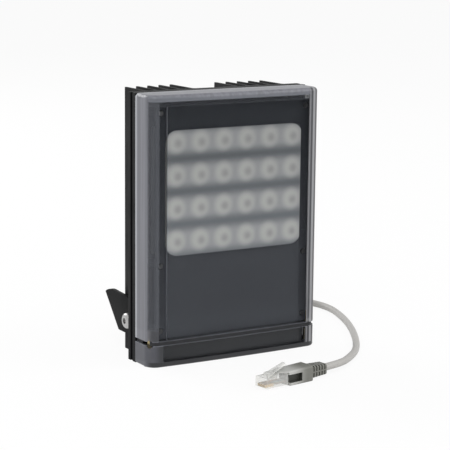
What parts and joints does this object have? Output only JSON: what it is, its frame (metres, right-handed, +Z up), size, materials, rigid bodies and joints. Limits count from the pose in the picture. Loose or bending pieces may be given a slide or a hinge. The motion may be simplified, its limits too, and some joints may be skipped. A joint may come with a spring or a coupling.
{
  "type": "infrared illuminator",
  "caption": "Infrared lamp for security cameras: finned black housing, clear cover over a frosted lens window, tilting bracket, and a short lead with a network plug.",
  "frame": {"origin": "middle of the heat sink's base plate at its bottom end, on which the lamp stands", "axes": "+X to the lamp's left seen from behind, across the window, +Y back to the fins, +Z up along the fins"},
  "size_m": [0.2057, 0.2099, 0.186],
  "materials": {
    "black_anodised": "matt black anodised extrusion",
    "black_paint": "matt black powder coat on folded steel",
    "clear_cover": "clear moulded cover, polished",
    "clear_sheet": "clear sheet",
    "frosted_sheet": "frosted sheet",
    "black_moulding": "black moulding, fine texture",
    "rubber_seal": "black seal rubber",
    "brass": "plain brass",
    "clear_lens": "clear moulded lens",
    "diode_window": "diode package",
    "board_white": "aluminium-backed board with white mask",
    "board_green": "glass-fibre board, green mask",
    "grey_pad": "soft thermal pad",
    "black_nylon": "black nylon",
    "ferrite": "ferrite core with windings",
    "can_aluminium": "capacitor cans",
    "black_epoxy": "moulded epoxy",
    "white_nylon": "natural nylon",
    "wire_sheath": "coloured wire sheath",
    "grey_sheath": "light grey cable sheath",
    "grey_boot": "grey moulded boot",
    "clear_plug": "clear moulded plug",
    "gold": "gold-plated blades",
    "steel": "stainless steel"
  },
  "bodies": {
    "housing": {"heat_sink": "black_anodised", "front_cover": "clear_cover", "cover_gasket": "rubber_seal", "cover_screws": "steel", "bottom_cap": "clear_cover", "cap_liner": "black_moulding", "cap_seal": "rubber_seal", "cap_screws": "brass", "bezel": "black_moulding", "bezel_screws": "steel", "window_diffuser": "frosted_sheet", "lens_insert": "clear_sheet", "thermal_pad": "grey_pad", "led_board": "board_white", "led_emitters": "diode_window", "led_lenses": "clear_lens", "board_screws": "steel", "driver_board": "board_green", "board_standoffs": "brass", "driver_screws": "steel", "transformer": "ferrite", "inductor": "ferrite", "capacitors": "can_aluminium", "power_transistors": "black_epoxy", "cable_header": "white_nylon", "lead_wires": "wire_sheath", "link_leads": "wire_sheath", "gland_body": "black_nylon", "gland_seal": "rubber_seal", "gland_dome": "black_nylon", "gland_nut": "black_nylon", "pivot_screws": "steel", "pivot_washers": "steel", "spring_washers": "steel", "pivot_nuts": "steel", "cable": "grey_sheath", "plug_boot": "grey_boot", "plug_body": "clear_plug", "plug_contacts": "gold", "plug_wires": "wire_sheath"},
    "bracket": {"bracket": "black_paint"}
  },
  "joints": [
    {"name": "bracket_tilt", "type": "hinge", "parent": "housing", "child": "bracket", "pos_m": [0, 0.0205, 0.023], "axis": [1, 0, 0], "range_deg": [-2, 40]}
  ]
}
